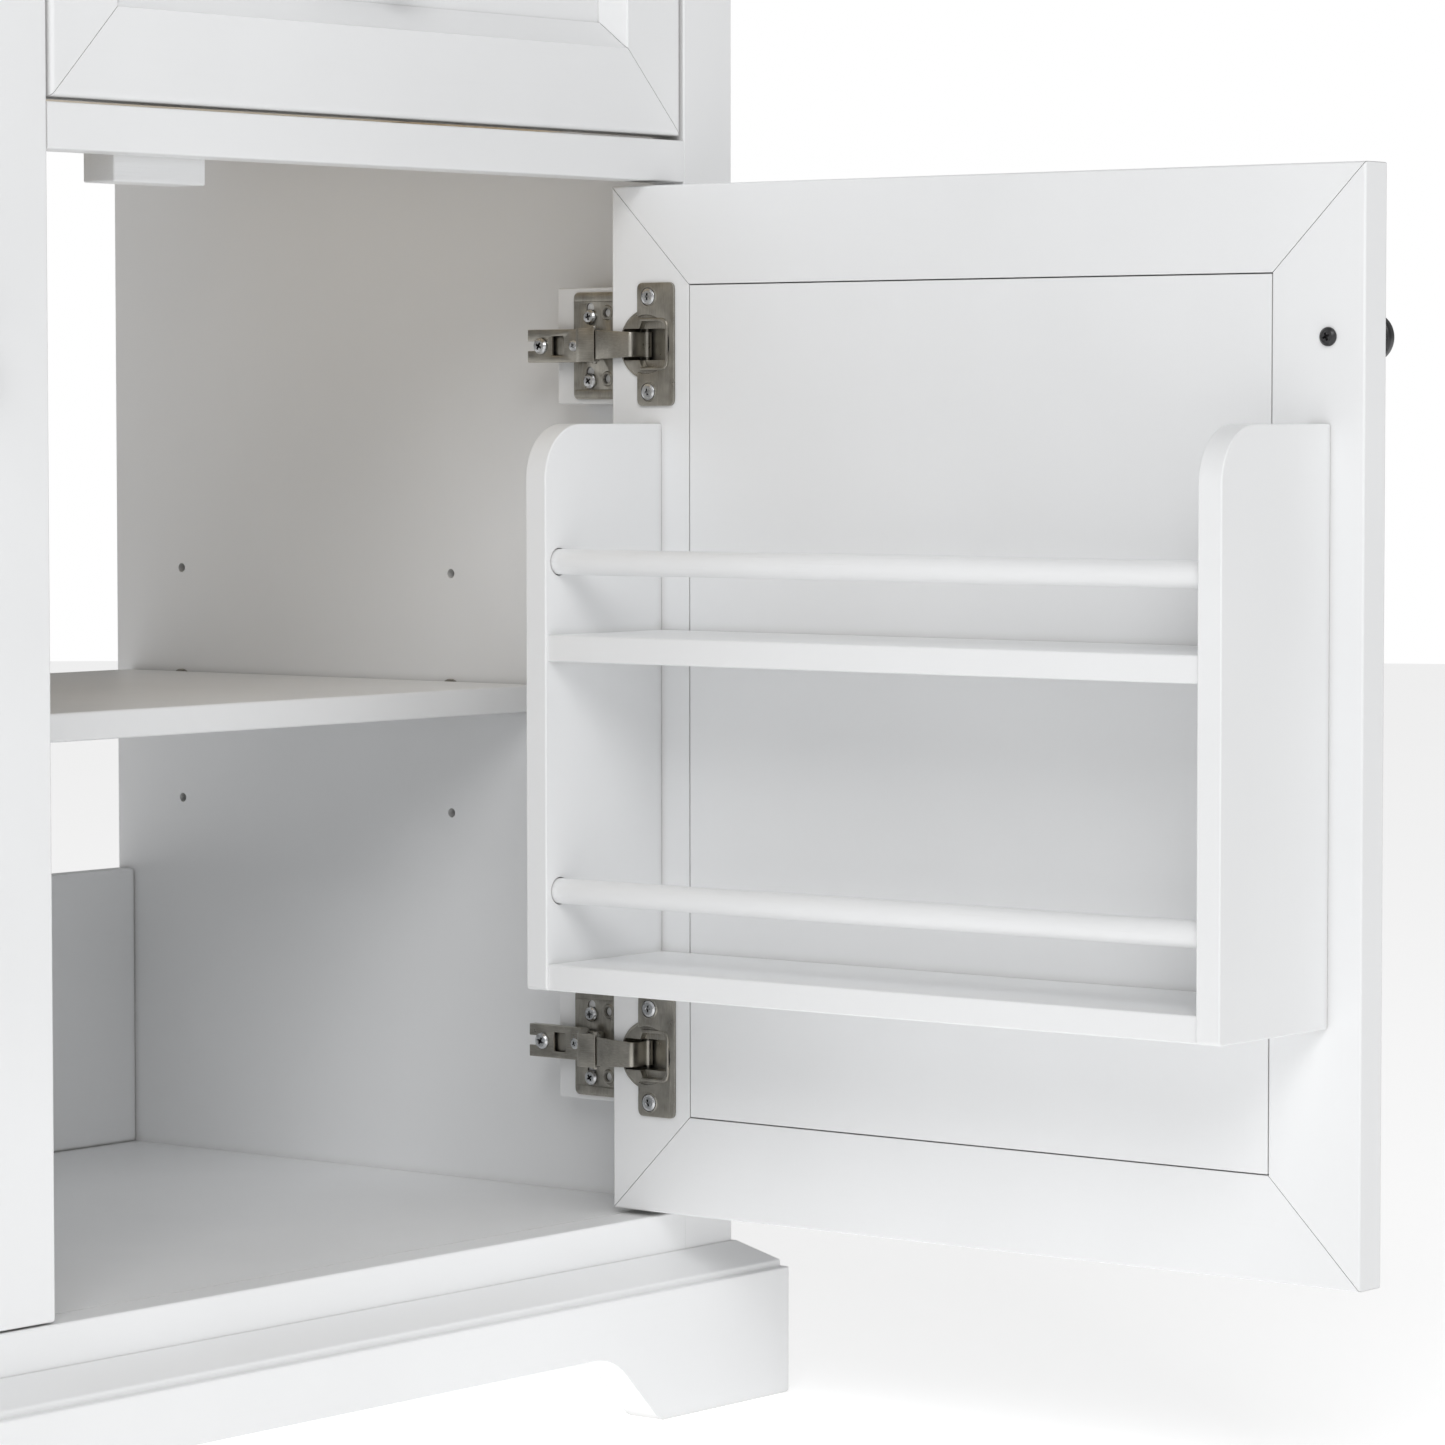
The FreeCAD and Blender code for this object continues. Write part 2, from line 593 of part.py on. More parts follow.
# --- write every piece --------------------------------------------------------
def save_case():
    save("side_panel_right", [side_panel()])
    save("side_panel_left", [mirrored(side_panel())])
    save("centre_partition", [partition()])
    save("bottom_panel", [box(-SIDE_IN, SIDE_IN, FRAME_BACK, BACK, BASE_HEIGHT - BOTTOM, BASE_HEIGHT)])
    reach = OUTER + TOP_OVERHANG
    top = board(-reach, reach, FRONT - TOP_OVERHANG, BACK, CASE_TOP, CASE_TOP + TOP_THICK, ease=3.0)
    save("top_board", [top])
    save("low_back_rails", both([back_rail(BASE_HEIGHT, BASE_HEIGHT + 154)]))
    save("upper_back_rails", both([back_rail(CASE_TOP - 80, CASE_TOP)]))
    save("shelf_right", [shelf()])
    save("shelf_left", [mirrored(shelf())])
    save("shelf_supports", both(shelf_supports()))
    save("door_stops", both([door_stop()]))


def save_face_frame():
    stile = board(STILE_IN, OUTER, FRONT, FRAME_BACK, FRAME_BOTTOM, CASE_TOP, axis=2)
    save("stile_right", [stile])
    save("stile_left", [mirrored(stile)])
    foot = BASE_HEIGHT + 0.9
    save("centre_mullion", [board(-MULLION, MULLION, FRONT, FRAME_BACK, foot, DRAWER_TOP, ease=1.6)])
    rail = board(-STILE_IN, STILE_IN, FRONT, FRAME_BACK, FRAME_BOTTOM, BASE_HEIGHT, axis=0)
    save("bottom_rail", [rail])
    save("mid_rails", both([board(MULLION, STILE_IN, FRONT, FRAME_BACK, DOOR_TOP, DRAWER_BASE, axis=0)]))
    save("top_rail", [board(-STILE_IN, STILE_IN, FRONT, FRAME_BACK, DRAWER_TOP, CASE_TOP, axis=0)])


def save_base():
    save("plinth_front", [plinth_front()])
    save("plinth_right", [plinth_side()])
    save("plinth_left", [mirrored(plinth_side())])
    under = BASE_HEIGHT - BOTTOM
    save("base_bearers", [box(-SIDE_IN, SIDE_IN, BACK - BEARER, BACK, ARCH_HEIGHT, under),
                          box(-HALF_PART, HALF_PART, FRAME_BACK, BACK - BEARER, 0, under)])
    save("foot_blocks", both([foot_block()]))


def save_hinges():
    save("hinge_spacer_blocks", both([spacer_block(z) for z in HINGE_HEIGHTS]))
    save("hinge_plates", both([hinge_plate(z) for z in HINGE_HEIGHTS]))
    save("hinge_plate_screws", both([s for z in HINGE_HEIGHTS for s in plate_screws(z)]))
    save("hinge_arms", both([hinge_arm(z) for z in HINGE_HEIGHTS]))


def save_doors():
    bottom, top, first, second = door_frame()
    hinge_stile = first if first.BoundBox.XMax > second.BoundBox.XMax else second
    free_stile = second if hinge_stile is first else first
    panel = door_panel()
    cups = [hinge_cup(z) for z in HINGE_HEIGHTS]
    cup_screws = [screw(4.3, 2.0, 1.7, 12.0, place + Vector(0, 1.4, 0), Vector(0, -1, 0))
                  for place in cup_screw_places()]
    door_knob = knob(KNOB_X, KNOB_Z)
    inner_screw = knob_screw(KNOB_X, KNOB_Z, DOOR_BACK, DOOR_THICK + 8.0)
    rack_hinge_side = rack_side(RACK_RIGHT - RACK_BOARD, RACK_RIGHT - RACK_BOARD, -1)
    rack_free_side = rack_side(RACK_LEFT, RACK_LEFT + RACK_BOARD, 1)
    lower, upper = rack_shelf(0), rack_shelf(1)

    right = {"hinge_stile": [hinge_stile], "free_stile": [free_stile], "top_rail": [top],
             "bottom_rail": [bottom], "panel": [panel], "knob": [door_knob],
             "knob_screw": [inner_screw], "hinge_cups": cups, "cup_screws": cup_screws,
             "rack_hinge_side": [rack_hinge_side], "rack_free_side": [rack_free_side],
             "rack_upper_shelf": [upper], "rack_lower_shelf": [lower], "rack_rods": rack_rods()}
    for name, shapes in right.items():
        save("right_door_" + name, [opened(shape) for shape in shapes])

    left = {"frame": [bottom, top, hinge_stile, free_stile], "panel": [panel], "knob": [door_knob],
            "hinge_cups": cups, "screws": cup_screws + [inner_screw],
            "rack": [rack_hinge_side, rack_free_side, lower, upper] + rack_rods()}
    for name, shapes in left.items():
        save("left_door_" + name, [mirrored(shape) for shape in shapes])


def save_drawers():
    x, z = DRAWER_KNOB
    pieces = {"front_frame": drawer_front(), "front_panel": [drawer_panel()], "box": drawer_walls(),
              "bottom": [drawer_floor()], "slides": drawer_slides(),
              "knob": [drawer_knob(), knob_screw(x, z, BOX_FRONT + DRAWER_WALL, 30.0)]}
    for name, shapes in pieces.items():
        save("right_drawer_" + name, shapes)
        save("left_drawer_" + name, [mirrored(shape) for shape in shapes])
    save("cabinet_slides", both(cabinet_slides()))
    save("slide_spacers", both(slide_spacers()))


os.makedirs("parts", exist_ok=True)
save_case()
save_face_frame()
save_base()
save_hinges()
save_doors()
save_drawers()
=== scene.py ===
import json
import math
import random

import bmesh
import bpy
from mathutils import Matrix, Vector


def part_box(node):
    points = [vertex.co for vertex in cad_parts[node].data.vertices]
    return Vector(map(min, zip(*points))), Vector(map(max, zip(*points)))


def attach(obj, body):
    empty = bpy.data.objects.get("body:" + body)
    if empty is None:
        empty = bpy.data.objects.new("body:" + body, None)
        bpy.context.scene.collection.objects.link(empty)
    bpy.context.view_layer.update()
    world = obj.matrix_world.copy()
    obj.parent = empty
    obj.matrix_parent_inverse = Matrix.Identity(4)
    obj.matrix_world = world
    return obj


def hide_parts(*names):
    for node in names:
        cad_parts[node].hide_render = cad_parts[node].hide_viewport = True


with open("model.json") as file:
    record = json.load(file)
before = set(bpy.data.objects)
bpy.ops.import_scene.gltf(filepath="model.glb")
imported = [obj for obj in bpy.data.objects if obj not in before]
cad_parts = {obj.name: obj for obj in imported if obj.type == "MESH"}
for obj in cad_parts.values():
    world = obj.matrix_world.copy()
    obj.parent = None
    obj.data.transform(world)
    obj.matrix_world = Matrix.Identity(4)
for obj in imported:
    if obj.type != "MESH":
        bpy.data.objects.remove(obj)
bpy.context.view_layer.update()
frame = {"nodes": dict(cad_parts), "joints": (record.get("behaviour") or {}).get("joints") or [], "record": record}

# Looks of a white pantry cabinet. Metres, in the CAD frame: X right, Y back, Z up.
MM = 0.001
scene = bpy.context.scene
scene.view_settings.view_transform = "Standard"

# --- places, read from the frame ----------------------------------------------
PIVOT = Vector(next(j for j in frame["joints"] if j["name"] == "right_door_hinge")["pos_m"])
PLATES_LOW, PLATES_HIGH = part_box("hinge_plates")
CUPS_LOW, CUPS_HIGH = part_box("left_door_hinge_cups")
SIDE = PLATES_HIGH.x                            # inner face of the spacer blocks
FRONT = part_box("stile_right")[0].y
PLATE_HALF = 27.5 * MM
HEIGHTS = (PLATES_LOW.z + PLATE_HALF, PLATES_HIGH.z - PLATE_HALF)
FLANGE = 1.4 * MM
DOOR_BACK = CUPS_HIGH.y - FLANGE                # inner face of a closed door
CUP_RIM = 18.1 * MM
CUP_X = -CUPS_LOW.x - CUP_RIM                   # cup centre of the right door, closed
CUP_SCREW_X = CUP_X - 1.4 * MM
CUP_SCREW_REACH = 24 * MM                       # each way from the cup centre's height

UPRIGHT = Matrix.Identity(4)
MIRROR = Matrix.Scale(-1, 4, Vector((1, 0, 0)))
OPEN = (Matrix.Translation(PIVOT) @ Matrix.Rotation(math.radians(90), 4, "Z")
        @ Matrix.Translation(-PIVOT))


def at(x, y, z):
    return Matrix.Translation(Vector((x, y, z)))


def turned(angle):
    """A turn about z, so that no two screw slots line up."""
    return Matrix.Rotation(angle, 4, "Z")


# --- material nodes -----------------------------------------------------------
def add(tree, kind, values=(), **settings):
    """A shader node; each value is a number or colour, or the output that feeds the input."""
    made = tree.nodes.new("ShaderNode" + kind)
    for key, value in settings.items():
        setattr(made, key, value)
    for key, value in dict(values).items():
        if isinstance(value, bpy.types.NodeSocket):
            tree.links.new(value, made.inputs[key])
        else:
            made.inputs[key].default_value = value
    return made


def start(name):
    """A new material, with its node tree, its shader and the place on the object."""
    material = bpy.data.materials.new(name)
    material.use_nodes = True
    tree = material.node_tree
    place = add(tree, "TexCoord").outputs["Object"]
    return material, tree, tree.nodes["Principled BSDF"], place


def noise(tree, place, size, stretch=(1, 1, 1), detail=3.0, rough=0.55):
    """Noise with cells of about size metres, longer along an axis where stretch is above 1."""
    scale = [1 / (size * s) for s in stretch]
    moved = add(tree, "Mapping", {"Vector": place, "Scale": scale})
    made = add(tree, "TexNoise", {"Vector": moved.outputs[0], "Scale": 1.0, "Detail": detail,
                                  "Roughness": rough})
    return made.outputs["Fac"]


def remap(tree, value, low, high, to_low, to_high):
    """The value taken from one range to another, and held at its ends."""
    return add(tree, "MapRange", {"Value": value, "From Min": low, "From Max": high,
                                  "To Min": to_low, "To Max": to_high}).outputs[0]


def blend(tree, factor, first, second):
    """The first colour where factor is 0 and the second where it is 1."""
    made = add(tree, "Mix", data_type="RGBA", blend_type="MIX")
    for socket, value in ((0, factor), (6, first), (7, second)):
        if isinstance(value, bpy.types.NodeSocket):
            tree.links.new(value, made.inputs[socket])
        else:
            made.inputs[socket].default_value = value
    return made.outputs[2]


def rgb(r, g, b):
    return (r, g, b, 1.0)


def edges(tree, radius, gain):
    """Near 1 on sharp edges, 0 on flats."""
    soft = add(tree, "Bevel", {"Radius": radius}, samples=4).outputs[0]
    true = add(tree, "NewGeometry").outputs["Normal"]
    match = add(tree, "VectorMath", {0: soft, 1: true}, operation="DOT_PRODUCT").outputs["Value"]
    return remap(tree, match, 1.0, 1.0 - gain, 0.0, 1.0)


def painted_crevice_shade(tree, distance, low, high):
    """Near 1 in gaps and inner corners, 0 in the open: the mask by which the finishes darken their colour as
    painted shade.
    """
    open_share = add(tree, "AmbientOcclusion", {"Distance": distance}, samples=6).outputs["AO"]
    return remap(tree, open_share, low, high, 1.0, 0.0)


def bump(tree, height, depth, under=None):
    """A normal raised by height times depth metres, on top of the bump under it."""
    values = {"Height": height, "Distance": depth, "Strength": 1.0}
    if under is not None:
        values["Normal"] = under
    return add(tree, "Bump", values).outputs[0]


def along(axis, length):
    """Stretch that makes noise cells long on one axis."""
    return tuple(length if name == axis else 1.0 for name in "xyz")


def painted(name, axis, grain=1.0, tint=rgb(0.873, 0.88, 0.887)):
    """Satin white paint on smooth board, its faint grain running along one axis."""
    material, tree, shader, place = start(name)
    cloud = noise(tree, place, 0.22, detail=2.0)
    pale = [c * 1.02 for c in tint[:3]] + [1.0]
    deep = [c * 0.975 for c in tint[:3]] + [1.0]
    colour = blend(tree, remap(tree, cloud, 0.35, 0.65, 0.0, 1.0), deep, pale)
    fibre = noise(tree, place, 1.1 * MM, along(axis, 42.0), detail=4.0)
    colour = blend(tree, remap(tree, fibre, 0.60, 0.80, 0.0, 0.10 * grain), colour,
                   rgb(0.78, 0.78, 0.77))
    # Painted highlight: rounded edges are made paler, as if they were catching the light.
    colour = blend(tree, remap(tree, edges(tree, 0.9 * MM, 0.16), 0.1, 1.0, 0.0, 0.30), colour,
                   rgb(0.92, 0.925, 0.93))
    # Painted shade: gaps and inner corners are darkened towards grey, where shade falls.
    colour = blend(tree, remap(tree, painted_crevice_shade(tree, 7 * MM, 0.25, 0.75), 0.0, 1.0, 0.0, 0.50),
                   colour, rgb(0.50, 0.49, 0.47))
    tree.links.new(colour, shader.inputs["Base Color"])
    sheen = noise(tree, place, 35 * MM, detail=4.0)
    tree.links.new(remap(tree, sheen, 0.3, 0.7, 0.34, 0.46), shader.inputs["Roughness"])
    peel = noise(tree, place, 0.9 * MM, detail=2.0)
    normal = bump(tree, fibre, 0.018 * MM * grain)
    tree.links.new(bump(tree, peel, 0.010 * MM, normal), shader.inputs["Normal"])
    shader.inputs["Specular IOR Level"].default_value = 0.42
    shader.inputs["Coat Weight"].default_value = 0.10
    shader.inputs["Coat Roughness"].default_value = 0.25
    return material


def lacquered(name, axis):
    """Pale clear-lacquered wood with growth lines and pores along one axis."""
    material, tree, shader, place = start(name)
    rings = noise(tree, place, 7 * MM, along(axis, 16.0), detail=5.0, rough=0.6)
    pores = noise(tree, place, 0.6 * MM, along(axis, 30.0), detail=3.0)
    colour = blend(tree, remap(tree, rings, 0.35, 0.68, 0.0, 1.0), rgb(0.66, 0.53, 0.36),
                   rgb(0.79, 0.69, 0.53))
    colour = blend(tree, remap(tree, pores, 0.58, 0.74, 0.0, 0.55), colour, rgb(0.46, 0.33, 0.20))
    # Painted shade: gaps and inner corners are darkened towards dark brown, where shade falls.
    colour = blend(tree, remap(tree, painted_crevice_shade(tree, 8 * MM, 0.3, 0.8), 0.0, 1.0, 0.0, 0.5),
                   colour, rgb(0.28, 0.21, 0.14))
    tree.links.new(colour, shader.inputs["Base Color"])
    tree.links.new(remap(tree, rings, 0.3, 0.7, 0.50, 0.36), shader.inputs["Roughness"])
    tree.links.new(bump(tree, pores, 0.04 * MM, bump(tree, rings, 0.05 * MM)),
                   shader.inputs["Normal"])
    shader.inputs["Coat Weight"].default_value = 0.25
    shader.inputs["Coat Roughness"].default_value = 0.3
    return material


def metal(name, axis, dark, light, lines_and_highlight, brush, rough):
    """Plated steel: brushed along one axis and smudged, with painted shade darkening its corners and a painted
    highlight brightening its edges.
    """
    material, tree, shader, place = start(name)
    smudge = noise(tree, place, 9 * MM, detail=5.0)
    lines = noise(tree, place, 0.16 * MM, along(axis, 40.0), detail=2.0)
    colour = blend(tree, remap(tree, smudge, 0.35, 0.65, 0.0, 1.0), dark, light)
    colour = blend(tree, remap(tree, lines, 0.45, 0.70, 0.0, 0.25), colour, lines_and_highlight)
    # Painted highlight: the edges are brightened towards the third colour, as if they were catching the light.
    colour = blend(tree, remap(tree, edges(tree, 0.35 * MM, 0.22), 0.15, 1.0, 0.0, 0.75), colour,
                   lines_and_highlight)
    # Painted shade: gaps and inner corners are darkened almost to black, where shade falls.
    colour = blend(tree, remap(tree, painted_crevice_shade(tree, 5 * MM, 0.15, 0.75), 0.0, 1.0, 0.0, 0.80),
                   colour, rgb(0.045, 0.042, 0.038))
    tree.links.new(colour, shader.inputs["Base Color"])
    tree.links.new(remap(tree, smudge, 0.3, 0.7, rough, rough + 0.14), shader.inputs["Roughness"])
    tree.links.new(bump(tree, lines, brush, bump(tree, smudge, 0.02 * MM)),
                   shader.inputs["Normal"])
    shader.inputs["Metallic"].default_value = 1.0
    shader.inputs["Anisotropic"].default_value = 0.35
    return material


def black_coated(name):
    """Satin black coating with a fine texture and edges a little paler."""
    material, tree, shader, place = start(name)
    cloud = noise(tree, place, 6 * MM, detail=4.0)
    colour = blend(tree, remap(tree, cloud, 0.35, 0.65, 0.0, 1.0), rgb(0.010, 0.010, 0.011),
                   rgb(0.024, 0.024, 0.026))
    colour = blend(tree, remap(tree, edges(tree, 0.5 * MM, 0.3), 0.2, 1.0, 0.0, 0.5), colour,
                   rgb(0.10, 0.10, 0.105))
    tree.links.new(colour, shader.inputs["Base Color"])
    tree.links.new(remap(tree, cloud, 0.3, 0.7, 0.30, 0.44), shader.inputs["Roughness"])
    grit = noise(tree, place, 0.35 * MM, detail=2.0)
    tree.links.new(bump(tree, grit, 0.012 * MM), shader.inputs["Normal"])
    shader.inputs["Coat Weight"].default_value = 0.2
    shader.inputs["Coat Roughness"].default_value = 0.2
    return material


# The first two NICKEL tones sit well below bare nickel: painted shade for the dark surroundings its flats would
# reflect. The third colour of each metal is the tone of its brushed lines and of its painted edge highlight.
NICKEL = (rgb(0.30, 0.285, 0.25), rgb(0.42, 0.40, 0.355), rgb(0.86, 0.83, 0.76))
ZINC = (rgb(0.52, 0.53, 0.54), rgb(0.70, 0.71, 0.72), rgb(0.90, 0.91, 0.92))
finishes = {}
for grain_axis in "xyz":
    finishes["white_paint", grain_axis] = painted("satin_white_paint_" + grain_axis, grain_axis)
    finishes["painted_dowel", grain_axis] = painted("painted_dowel_" + grain_axis, grain_axis, 5.0)
    finishes["lacquered_wood", grain_axis] = lacquered("lacquered_wood_" + grain_axis, grain_axis)
    finishes["nickel_hinge", grain_axis] = metal("brushed_nickel_" + grain_axis, grain_axis,
                                                 *NICKEL, 0.010 * MM, 0.27)
    finishes["screw_steel", grain_axis] = metal("bright_zinc_" + grain_axis, grain_axis,
                                                *ZINC, 0.004 * MM, 0.20)
    finishes["zinc_slide", grain_axis] = metal("zinc_channel_" + grain_axis, grain_axis,
                                               *ZINC, 0.008 * MM, 0.34)
    finishes["black_metal", grain_axis] = black_coated("satin_black_" + grain_axis)
open_grain_paint = painted("painted_softwood", "x", 9.0)


def finish_nodes():
    """Every CAD node takes the finish of its slot, with the grain along its longest side."""
    slots = {s["node"]: s["material_slot"] for s in frame["record"]["subparts"]}
    for node, shown in frame["nodes"].items():
        low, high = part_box(node)
        size = high - low
        grain_axis = "xyz"[max(range(3), key=lambda i: size[i])]
        shown.data.materials.clear()
        shown.data.materials.append(finishes[slots[node], grain_axis])
    stops = frame["nodes"]["door_stops"].data.materials
    stops.clear()
    stops.append(open_grain_paint)


# --- mesh tools ---------------------------------------------------------------
def evaluated(shape, modifiers):
    """A mesh or curve with modifiers applied, as a new mesh."""
    holder = bpy.data.objects.new("holder", shape)
    scene.collection.objects.link(holder)
    for kind, settings in modifiers:
        made = holder.modifiers.new(kind.lower(), kind)
        for key, value in settings.items():
            setattr(made, key, value)
    result = bpy.data.meshes.new_from_object(
        holder.evaluated_get(bpy.context.evaluated_depsgraph_get()))
    bpy.data.objects.remove(holder)
    return result


def bevelled(mesh, width, segments=2):
    """The mesh with every edge sharper than 35 degrees rounded over."""
    return evaluated(mesh, [("BEVEL", {"width": width, "segments": segments,
                                       "limit_method": "ANGLE", "angle_limit": math.radians(35),
                                       "use_clamp_overlap": True})])


def carved(mesh, cutters):
    """The mesh with the cutters' volumes taken out of it."""
    tools = []
    for cutter in cutters:
        tool = bpy.data.objects.new("tool", cutter)
        scene.collection.objects.link(tool)
        tools.append(tool)
    result = evaluated(mesh, [("BOOLEAN", {"operation": "DIFFERENCE", "object": tool,
                                           "solver": "EXACT"}) for tool in tools])
    for tool in tools:
        bpy.data.objects.remove(tool)
    return result


def welded(mesh):
    """The mesh with doubled points joined and flat triangles merged."""
    work = bmesh.new()
    work.from_mesh(mesh)
    bmesh.ops.remove_doubles(work, verts=work.verts, dist=1e-7)
    bmesh.ops.dissolve_limit(work, angle_limit=math.radians(0.5), verts=work.verts,
                             edges=work.edges)
    bmesh.ops.recalc_face_normals(work, faces=work.faces)
    work.to_mesh(mesh)
    work.free()
    return mesh


def cut_sheet(loops, thick):
    """A flat sheet on z = 0 to thick: the first loop is its outline, the others are holes."""
    curve = bpy.data.curves.new("outline", "CURVE")
    curve.dimensions = "2D"
    curve.fill_mode = "BOTH"
    curve.extrude = thick / 2
    for loop in loops:
        spline = curve.splines.new("POLY")
        spline.points.add(len(loop) - 1)
        for point, (x, y) in zip(spline.points, loop):
            point.co = (x, y, 0, 1)
        spline.use_cyclic_u = True
    mesh = evaluated(curve, [])
    mesh.transform(Matrix.Translation((0, 0, thick / 2)))
    return welded(mesh)


def circle(x, y, radius, steps=40):
    """A round outline."""
    return [(x + radius * math.cos(2 * math.pi * i / steps),
             y + radius * math.sin(2 * math.pi * i / steps)) for i in range(steps)]


def long_hole(x, y, length, width, steps=10):
    """A slot standing along y."""
    r = width / 2
    reach = length / 2 - r
    turn = [math.pi * i / steps for i in range(steps + 1)]
    return ([(x + r * math.cos(a), y + reach + r * math.sin(a)) for a in turn]
            + [(x - r * math.cos(a), y - reach - r * math.sin(a)) for a in turn])


def corner_arc(a, corner, b, steps):
    """Points of the curve that rounds a corner over, from a to b."""
    points = []
    for k in range(steps + 1):
        t = k / steps
        p = a * (1 - t) ** 2 + corner * 2 * t * (1 - t) + b * t ** 2
        points.append((p.x, p.y))
    return points


def rounded(corners, steps=6):
    """A closed outline through corners (x, y, radius)."""
    points = []
    count = len(corners)
    for i, (x, y, radius) in enumerate(corners):
        here = Vector((x, y))
        before = (Vector(corners[i - 1][:2]) - here).normalized()
        after = (Vector(corners[(i + 1) % count][:2]) - here).normalized()
        if radius == 0:
            points.append((x, y))
            continue
        half = before.angle(after) / 2
        reach = radius / math.tan(half)
        points += corner_arc(here + before * reach, here, here + after * reach, steps)
    return points


def rect(x0, x1, y0, y1, radius):
    """A rectangle's outline with rounded corners."""
    return rounded([(x0, y0, radius), (x1, y0, radius), (x1, y1, radius), (x0, y1, radius)])


def closed_mesh(work, name):
    """The finished mesh of a closed shape, its faces outward."""
    bmesh.ops.recalc_face_normals(work, faces=work.faces)
    mesh = bpy.data.meshes.new(name)
    work.to_mesh(mesh)
    work.free()
    return mesh


def lathe(profile, steps=48):
    """A solid turned about z from a profile of (radius, height), closed at the axis."""
    work = bmesh.new()
    rings = []
    for radius, height in profile:
        if radius < 1e-7:
            rings.append([work.verts.new((0, 0, height))])
            continue
        rings.append([work.verts.new((radius * math.cos(2 * math.pi * i / steps),
                                      radius * math.sin(2 * math.pi * i / steps), height))
                      for i in range(steps)])
    for low, high in zip(rings, rings[1:]):
        for i in range(steps):
            j = (i + 1) % steps
            corners = [low[i % len(low)], low[j % len(low)], high[j % len(high)], high[i % len(high)]]
            corners = list(dict.fromkeys(corners))
            if len(corners) > 2:
                work.faces.new(corners)
    return closed_mesh(work, "turned")


def smooth_profile(corners, steps=6):
    """Profile points with each corner (radius, height, round) rounded."""
    points = []
    for i, (x, y, radius) in enumerate(corners):
        here = Vector((x, y))
        if radius == 0 or i in (0, len(corners) - 1):
            points.append((x, y))
            continue
        before = (Vector(corners[i - 1][:2]) - here).normalized()
        after = (Vector(corners[i + 1][:2]) - here).normalized()
        reach = radius / math.tan(before.angle(after) / 2)
        points += corner_arc(here + before * reach, here, here + after * reach, steps)
    return points


def bent_channel(path, half_width, thick, flange, rounding=3):
    """A strip bent through points (x, y) and standing half_width each way in z. With a flange,
    its two long edges are turned to the side away from its face."""
    line = [Vector(p) for p in smooth_path(path, rounding)]
    if flange:
        section = [(-flange, -half_width), (0.0, -half_width), (0.0, half_width), (-flange, half_width),
                   (-flange, half_width - thick), (-thick, half_width - thick),
                   (-thick, -half_width + thick), (-flange, -half_width + thick)]
    else:
        section = [(-thick, -half_width), (0.0, -half_width), (0.0, half_width), (-thick, half_width)]
    work = bmesh.new()
    rings = []
    for i, here in enumerate(line):
        ahead = (line[min(i + 1, len(line) - 1)] - line[max(i - 1, 0)]).normalized()
        side = Vector((ahead.y, -ahead.x))
        rings.append([work.verts.new((here.x + side.x * out, here.y + side.y * out, z))
                      for out, z in section])
    count = len(section)
    for low, high in zip(rings, rings[1:]):
        for i in range(count):
            j = (i + 1) % count
            work.faces.new((low[i], low[j], high[j], high[i]))
    work.faces.new(list(reversed(rings[0])))
    work.faces.new(rings[-1])
    return closed_mesh(work, "channel")


def smooth_path(path, rounding, steps=6):
    """The path with its inner corners rounded over, rounding millimetres each way."""
    points = [path[0]]
    for before, here, after in zip(path, path[1:], path[2:]):
        here = Vector(here)
        back = Vector(before) - here
        on = Vector(after) - here
        reach = min(rounding * MM, back.length / 2.2, on.length / 2.2)
        start_point = here + back.normalized() * reach
        points += corner_arc(start_point, here, here + on.normalized() * reach, steps)
    points.append(path[-1])
    return points


def block(x0, x1, y0, y1, z0, z1):
    """A box between two corners, used as a cutter."""
    work = bmesh.new()
    bmesh.ops.create_cube(work, size=1.0)
    for v in work.verts:
        v.co = Vector((x0 if v.co.x < 0 else x1, y0 if v.co.y < 0 else y1, z0 if v.co.z < 0 else z1))
    mesh = bpy.data.meshes.new("block")
    work.to_mesh(mesh)
    work.free()
    return mesh


def piece(name, body, slot, grain_axis, parts, replaced=(), sharp=32):
    """One object from (mesh, matrix) parts; it rides on a body and stands for CAD nodes."""
    work = bmesh.new()
    for mesh, matrix in parts:
        copy = mesh.copy()
        copy.transform(matrix)
        if matrix.determinant() < 0:
            copy.flip_normals()
        work.from_mesh(copy)
        bpy.data.meshes.remove(copy)
    mesh = bpy.data.meshes.new(name)
    work.to_mesh(mesh)
    work.free()
    mesh.polygons.foreach_set("use_smooth", [True] * len(mesh.polygons))
    mesh.set_sharp_from_angle(angle=math.radians(sharp))
    mesh.materials.append(finishes[slot, grain_axis])
    made = bpy.data.objects.new(name, mesh)
    scene.collection.objects.link(made)
    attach(made, body)
    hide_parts(*replaced)
    return made


# --- screws and knobs ---------------------------------------------------------
def cross_recess(radius, depth):
    """Cutters for a cross recess, whose mouth is on z = 0."""
    arm = radius * 0.16
    cutters = []
    for turn in (0, 90):
        wedge = block(-radius * 0.60, radius * 0.60, -arm, arm, -depth, radius * 0.3)
        for v in wedge.vertices:
            if v.co.z < 0:
                v.co.x *= 0.45
                v.co.y *= 0.70
        wedge.transform(Matrix.Rotation(math.radians(turn), 4, "Z"))
        cutters.append(wedge)
    return cutters


def pan_screw(radius, height, shank, length):
    """A pan-head cross screw along z: the head stands on z = 0, the shank runs down."""
    profile = smooth_profile([(0, -length, 0), (shank, -length + shank, 0), (shank, 0, 0),
                              (radius, 0, 0), (radius, height * 0.45, height * 0.3),
                              (radius * 0.72, height * 0.92, height * 0.35), (0, height, 0)])
    cutters = cross_recess(radius, height * 0.95)
    for cutter in cutters:
        cutter.transform(at(0, 0, height))
    return carved(lathe(profile), cutters)


